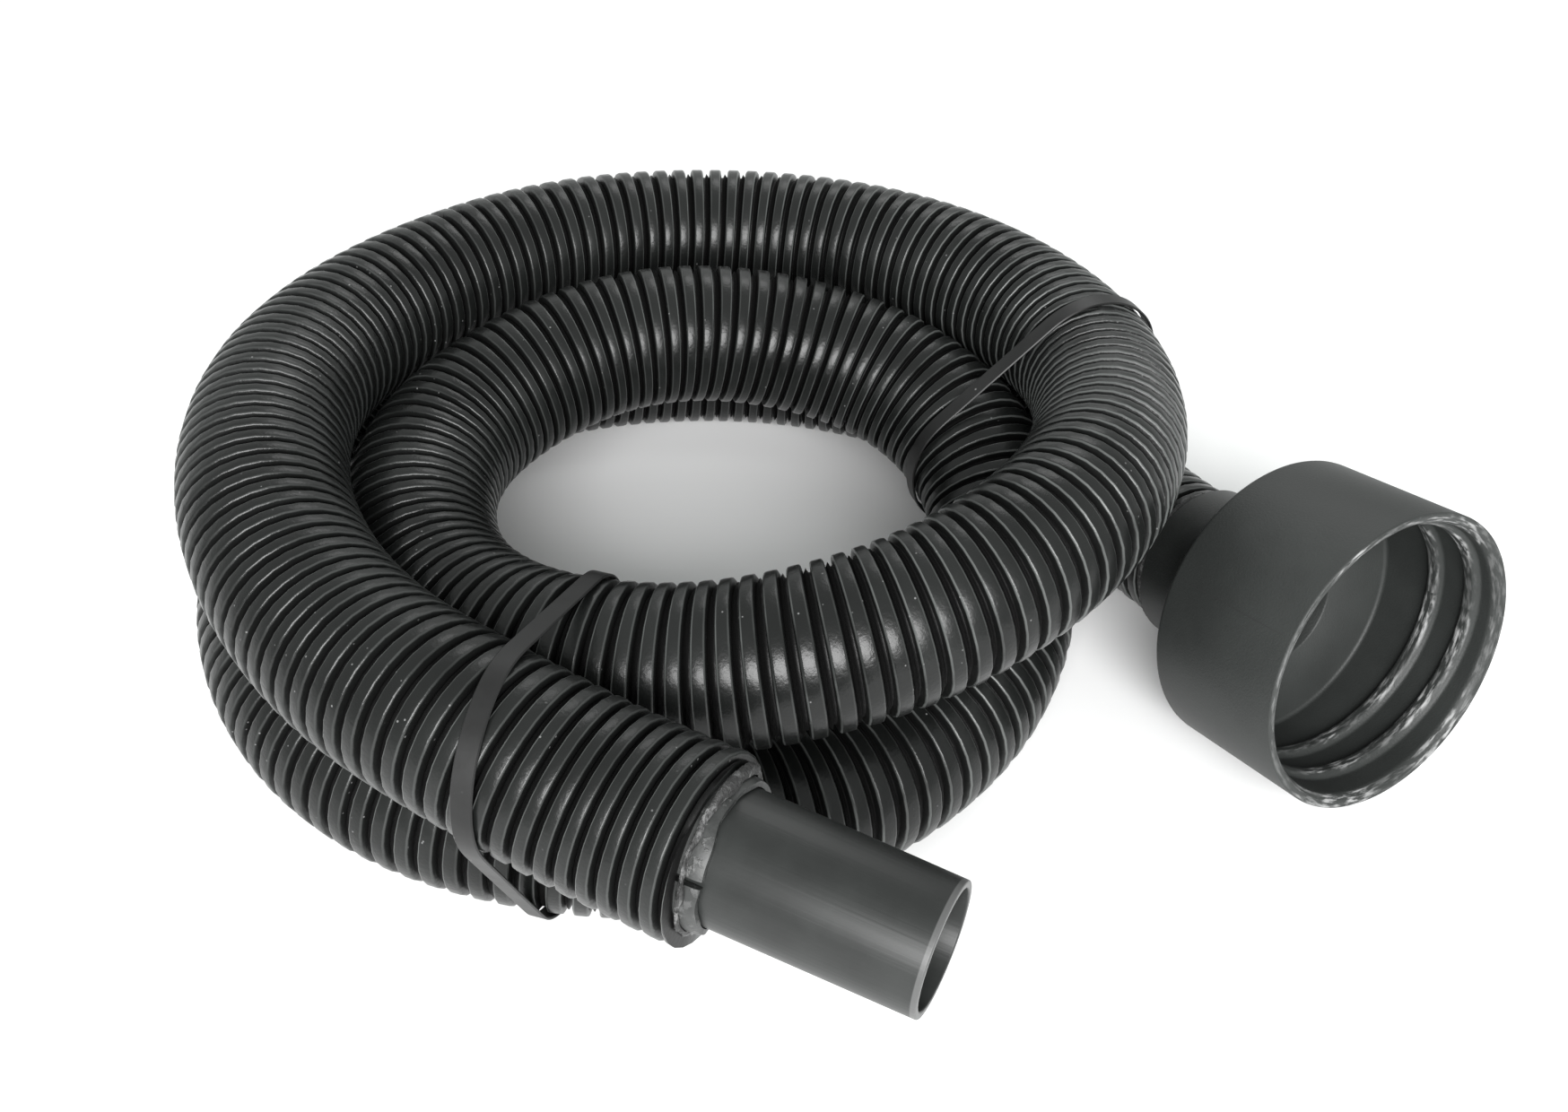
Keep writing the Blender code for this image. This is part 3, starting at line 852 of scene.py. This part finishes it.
def cap_profile():
    """Neck, back edge, skirt, rim, bore, floor, throat and hose stop, as (along from the neck's end, radius).

    Also says at which point the bore starts.
    """
    socket = HOSE_OD / 2 + GAP
    neck = socket + NECK_WALL
    outer = CAP_OD / 2
    throat = THROAT_BORE / 2
    floor = NECK_LENGTH + CAP_FLOOR
    stop = HOSE_INSERT + GAP
    neck_end = NECK_LENGTH - NECK_FILLET
    lead_in = CAP_BORE + CAP_LEAD_IN
    bore_mouth = CAP_MOUTH - CAP_LEAD_IN
    profile = [(0.0, socket), (0.0, neck - 0.0005), (0.0005, neck), (neck_end, neck)]
    profile += corner_arc((neck_end, neck + NECK_FILLET), NECK_FILLET, -60, 0, 3)
    profile += corner_arc((NECK_LENGTH + CAP_EDGE, outer - CAP_EDGE), CAP_EDGE, 180, 90, 7)
    profile += corner_arc((CAP_MOUTH - RIM_ROUNDING, outer - RIM_ROUNDING), RIM_ROUNDING, 90, 0)
    profile += [(CAP_MOUTH - 0.0003, lead_in + 0.0006), (CAP_MOUTH - 0.0006, lead_in)]
    profile += [(bore_mouth - 0.0008, CAP_BORE + 0.0002)]
    start = len(profile)
    profile += [(along, CAP_BORE) for along in np.linspace(bore_mouth - 0.0016, floor + 0.001, BORE_ROWS)]
    profile += [(floor + 0.0003, CAP_BORE - 0.0004), (floor, CAP_BORE - 0.0012)]
    profile += [(floor, throat + 0.0005), (floor - 0.0005, throat), (stop, throat), (stop, socket)]
    return profile, start


def thread_share(along, angle):
    """0 off the thread, 1 on its crest: how near the point lies to a helix, faded at both of its ends.

    The helix lies at mouth - first - turn * pitch; nearness = 1.5 (1 - away / half a width), then smoothed.
    """
    best = np.zeros(np.broadcast(along, angle).shape)
    for whole in range(math.ceil(THREAD_TURNS) + 1):
        turn = (THREAD_START - angle) % (2 * math.pi) / (2 * math.pi) + whole
        away = np.abs(along - (CAP_MOUTH - THREAD_FIRST - turn * THREAD_PITCH)) / (THREAD_WIDTH / 2)
        fade = np.minimum(turn, THREAD_TURNS - turn) / THREAD_FADE
        best = np.maximum(best, fade.clip(0.0, 1.0) * (THREAD_FLAT * (1 - away)).clip(0.0, 1.0))
    return best * best * (3 - 2 * best)


def cap_grid():
    """The turned profile with its bore rows drawn in by the thread's height; also how much painted highlight
    each point gets.
    """
    profile, start = cap_profile()
    outline = np.array(profile + [profile[0]])
    angle = np.arange(CAP_COLUMNS) / CAP_COLUMNS * 2 * math.pi
    radius = np.repeat(outline[:, 1:], CAP_COLUMNS, axis=1)
    bore = slice(start, start + BORE_ROWS)
    share = thread_share(outline[bore, :1], angle[None, :])
    radius[bore] -= THREAD_HEIGHT * share
    # How much painted highlight each point gets: the thread's crests and the lip at the mouth.
    highlight_share = np.zeros_like(radius)
    highlight_share[bore] = share
    highlight_share[start - RIM_POINTS:start] = RIM_HIGHLIGHT
    points = about(neck_entry, cap_axis, outline[:, :1], angle[None, :], radius)
    return (points, profile_map(outline, CAP_COLUMNS, CAP_OD / 2), 0), highlight_share


cap_points, cap_highlight_share = cap_grid()
print("cap points:", cap_highlight_share.size, " on the thread:", int((cap_highlight_share > 0).any(axis=1).sum()), "rows")

# %% [markdown]
# ## The cap's finish
#
# The moulding is matte, with a faint line where the two halves of the mould met.
# Its thread crests and the lip at its mouth get painted highlights, broken into pale strings.
# Where the highlight goes is painted on the points as a number, so it stays on the thread however the thread
# is changed.

# %% Cap material
PARTING_LINE = math.radians(150) * CAP_OD / 2
PARTING_NARROW = 4e6


def cap_finish():
    """Matte dark grey moulding: fine grain, faint scuffs, painted highlights in pale strings on the thread
    and rim, a parting line outside.
    """
    finish = Finish("cap_grey", Specular_IOR_Level=0.36)
    place = finish.place()
    along, around = finish.map_parts()
    grain = finish.noise(place, 1500, 2)
    patches = finish.noise(place, 30, 4)
    strings = finish.noise(finish.vector(around * 160, along * 900), 1.0, 4)
    # Painted highlight: pale strings along the thread's crests and the mouth's lip.
    painted_highlight = finish.highlight_share().between(0.35, 0.95) * strings.between(0.44, 0.66)
    painted_highlight = painted_highlight * (0.25 + finish.noise(place, 42, 3).between(0.42, 0.6))
    line = 1 - ((around - PARTING_LINE) ** 2.0 * PARTING_NARROW).between(0.0, 0.35)
    line = line * (along.between(0.035, 0.045) - along.between(0.085, 0.095))
    body = finish.mix(patches.between(0.3, 0.75), grey(0.021, 0.08), grey(0.030, 0.08))
    body = finish.mix(line * 0.55, body, grey(0.02))
    finish.feed(
        Base_Color=finish.mix(painted_highlight * 0.7, body, grey(0.36)),
        Roughness=0.46 + patches * 0.12 + painted_highlight * 0.15,
        Normal=finish.bump(grain + strings * painted_highlight * 1.5, 0.16, 0.0006),
    )
    return finish.material


cap = piece_from_grids("cap_body", [cap_points], flat_angle=50, highlight_share=cap_highlight_share)
cap.data.materials.append(cap_finish())
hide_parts("threaded_cap")
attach(cap, "root")

# %% [markdown]
# ## Cable ties
#
# A tie pulled tight takes the tightest loop round what it holds: flat on each turn, straight across each gap.
# That is the convex outline of the turns where a plane cuts them, so the straps are worked out, not drawn.
# A drawn curve would do for one view, but it would cut into the hose or float off it in others.
# The front tie leans, as one does when it is pulled from the side.

# %% Loops round the bundle
TIE_WIDTH = 0.0052
TIE_STEPS = 200
BUNDLE_RADIUS = 0.110
BUNDLE_HEIGHT = 0.050
SKIN_ANGLES = 48
NEAR_BUNDLE = 2.2 * HOSE_OD
STRAIGHT = 1e-12
# node, place round the coil, turn from straight outward, sideways metres per metre up, place of the head
TIES = {
    "front_strap": ("front_tie", math.radians(-46), math.radians(3), 0.05, math.radians(215)),
    "back_strap": ("back_tie", math.radians(86), math.radians(-2), 0.0, math.radians(-35)),
}


def convex_outline(points):
    """Corners of the tightest loop round flat points, anticlockwise: the lower chain, then the upper one."""
    def chain_over(ordered):
        chain = []
        for point in ordered:
            while len(chain) > 1 and np.cross(chain[-1] - chain[-2], point - chain[-2]) <= STRAIGHT:
                chain.pop()
            chain.append(point)
        return chain[:-1]

    ordered = points[np.lexsort((points[:, 1], points[:, 0]))]
    return np.array(chain_over(ordered) + chain_over(ordered[::-1]))


def even_loop(outline, count):
    """A closed outline read at even steps of its length."""
    closed = np.vstack([outline, outline[:1]])
    reached = steps_along(closed)
    at = np.linspace(0.0, reached[-1], count, endpoint=False)
    return np.column_stack([np.interp(at, reached, closed[:, axis]) for axis in range(2)])


def bundle_outline(origin, across, normal, lean):
    """The hose's skin where it is within half a tie of the leaning plane, as flat places (across, up)."""
    near = np.linalg.norm(path - origin, axis=1) < NEAR_BUNDLE
    along = path_at[near]
    angle = np.arange(SKIN_ANGLES) / SKIN_ANGLES * 2 * math.pi
    along, angle = np.broadcast_arrays(along[:, None], angle[None, :])
    skin = tube_points(along, angle, np.full(along.shape, HOSE_OD / 2)).reshape(-1, 3) - origin
    upward = skin[:, 2]
    close = np.abs(skin @ normal - lean * upward) < TIE_WIDTH / 2 + GAP
    return np.column_stack([skin[close] @ across, upward[close]])


print("ties:", ", ".join(TIES))

# %% [markdown]
# ## Straps and heads
#
# The strap is a ribbon with eased edges, swept along the loop and lying a little off the hose.
# On a real tie it runs through the head over a catch.
# None of that can be seen, so the head is a rounded block.
# It could be a cube with a Bevel modifier, but rows of points keep the strap and its head one mesh.

# %% Straps and heads
TIE_HEAD = (0.0095, 0.0085, 0.0060)
TIE_EASING = 0.0003
TIE_SMOOTHINGS = 3


def strap_grids(place_angle, skew, lean, head_angle):
    """A ribbon with eased edges swept along the loop, and a rounded block where it passes through its head.

    A ribbon point is origin + a across + b up + (c + lean b) normal, (a, b) on the loop and c in the section.
    """
    origin = np.array((*COIL_CENTRE, BUNDLE_HEIGHT)) + BUNDLE_RADIUS * direction(place_angle, 0)
    across = direction(place_angle + skew, 0)
    upward = np.array((0.0, 0.0, 1.0))
    normal = np.cross(across, upward)
    inner = even_loop(convex_outline(bundle_outline(origin, across, normal, lean)), TIE_STEPS)
    for _ in range(TIE_SMOOTHINGS):
        inner = (np.roll(inner, 1, axis=0) + inner * 2 + np.roll(inner, -1, axis=0)) / 4
    tangent = np.roll(inner, -1, axis=0) - np.roll(inner, 1, axis=0)
    outward = np.column_stack([tangent[:, 1], -tangent[:, 0]])
    outward /= np.linalg.norm(outward, axis=1)[:, None]
    half = TIE_WIDTH / 2
    low, high, ease = 2 * GAP, TIE_THICKNESS, TIE_EASING
    section = np.array([
        (low, -half + ease), (low + ease, -half), (high - ease, -half), (high, -half + ease),
        (high, half - ease), (high - ease, half), (low + ease, half), (low, half - ease),
    ])
    flat = inner[:, None, :] + outward[:, None, :] * section[None, :, :1]
    points = (
        origin + flat[..., :1] * across + flat[..., 1:] * upward
        + (section[None, :, 1:] + lean * flat[..., 1:]) * normal
    )
    loop_length = steps_along(np.vstack([inner, inner[:1]]))
    points = np.concatenate([points, points[:1]], axis=0)
    uv = np.stack(np.broadcast_arrays(loop_length[:, None], section[None, :, 1]), axis=-1)
    seat = int(np.argmax(inner @ np.array((math.cos(head_angle), math.sin(head_angle)))))
    out = across * outward[seat][0] + upward * outward[seat][1]
    foot = origin + across * inner[seat][0] + (upward + lean * normal) * inner[seat][1]
    return (points, uv, 0), head_grid(foot + out * (GAP * 3 + TIE_THICKNESS), out, normal)


def head_grid(foot, out, normal):
    """A small block on the strap: rows rise from the foot, each a rounded square, closed by middle points.

    Squared is max(|cos|, |sin|) ^ 0.8, and dividing a circle by it pushes its diagonals out.
    """
    along = np.cross(normal, out)
    angle = np.arange(24) / 24 * 2 * math.pi
    squared = np.maximum(np.abs(np.cos(angle)), np.abs(np.sin(angle))) ** 0.8
    top = TIE_HEAD[2]
    levels = ((0.0, 0.0), (0.0, 0.94), (0.0004, 1.0), (top - 0.0008, 0.97), (top, 0.86), (top, 0.0))
    rows = []
    for height, size in levels:
        flat = size / squared / 2
        rows.append(
            foot + out * height + along * (TIE_HEAD[0] * flat * np.cos(angle))[:, None]
            + normal * (TIE_HEAD[1] * flat * np.sin(angle))[:, None]
        )
    rise = np.arange(len(levels))[:, None] * 0.002
    uv = np.stack(np.broadcast_arrays(rise, angle[None, :] * 0.004), axis=-1)
    return np.array(rows), uv, 0


print("strap and head shapes ready")

# %% [markdown]
# ## The ties' finish
#
# Nylon is as black as the hose but smoother, with a soft even gloss and some dust.
# Both ties share one material, and noise on each object's own coordinates still makes them differ.

# %% Tie material
def tie_finish():
    """Black nylon: smooth, a little dusty, worn duller in patches."""
    finish = Finish("tie_nylon", Specular_IOR_Level=0.3)
    place = finish.place()
    patches = finish.noise(place, 80, 4)
    dust = finish.specks(place, 260, 0.12) * finish.noise(place, 60, 2).between(0.55, 0.7)
    body = finish.mix(patches.between(0.3, 0.7), grey(0.007), grey(0.012))
    finish.feed(
        Base_Color=finish.mix(dust * 0.4, body, grey(0.35)),
        Roughness=0.34 + patches * 0.18,
        Normal=finish.bump(patches, 0.3, 0.0005),
    )
    return finish.material


nylon = tie_finish()
for name, (node, place_angle, skew, lean, head_angle) in TIES.items():
    strap = piece_from_grids(name, strap_grids(place_angle, skew, lean, head_angle), flat_angle=35)
    strap.data.materials.append(nylon)
    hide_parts(node)
    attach(strap, "root")
    node + "_nylon"

# %% [markdown]
# ## The hose's length
#
# The hose is a stiff, coiled tube with a fitting at its far end; its length along the middle line is printed.

# %% Cord
print("cord of", round(hose_length, 3), "m")

# %% [markdown]
# ## Floor, light and backdrop
#
# A white table, a pale surround and large soft lamps give long, quiet reflections on black plastic.
# Small hard lamps would put a burning dot on every rib.
# The large lamp stands beside the viewer and lights the front; a faint one behind picks out the edges.

# %% Stage
def add_floor(size, colour):
    """A square floor at height zero."""
    half = size / 2
    corners = [(-half, -half, 0), (half, -half, 0), (half, half, 0), (-half, half, 0)]
    mesh = bpy.data.meshes.new("floor")
    mesh.from_pydata(corners, [], [(0, 1, 2, 3)])
    floor = bpy.data.objects.new("floor", mesh)
    bpy.context.scene.collection.objects.link(floor)
    floor.data.materials.append(Finish("floor_white", Base_Color=colour, Roughness=0.9).material)
    return floor


def add_lamp(name, place, target, width, height, power):
    """A rectangular lamp at a place, facing a target."""
    data = bpy.data.lights.new(name, "AREA")
    data.shape = "RECTANGLE"
    data.size = width
    data.size_y = height
    data.energy = power
    lamp = bpy.data.objects.new(name, data)
    facing = (Vector(target) - Vector(place)).to_track_quat("-Z", "Y").to_matrix().to_4x4()
    lamp.matrix_world = Matrix.Translation(place) @ facing
    bpy.context.scene.collection.objects.link(lamp)
    return lamp


FLOOR_SIZE = 12.0
FLOOR_TONE = 0.86
SURROUND_STRENGTH = 0.80

add_floor(FLOOR_SIZE, grey(FLOOR_TONE))
world = bpy.data.worlds.new("studio")
bpy.context.scene.world = world
world.use_nodes = True
surround = world.node_tree.nodes["Background"]
surround.inputs["Color"].default_value = grey(1.0, 0.03)
surround.inputs["Strength"].default_value = SURROUND_STRENGTH
add_lamp("key_lamp", (1.05, -0.55, 0.80), (0.05, 0, 0.05), 0.9, 0.6, 36)
add_lamp("back_lamp", (-0.85, 0.60, 0.95), (0, 0, 0.05), 0.6, 0.4, 2.5)
bpy.context.scene.view_settings.view_transform = "Standard"
print("stage ready")
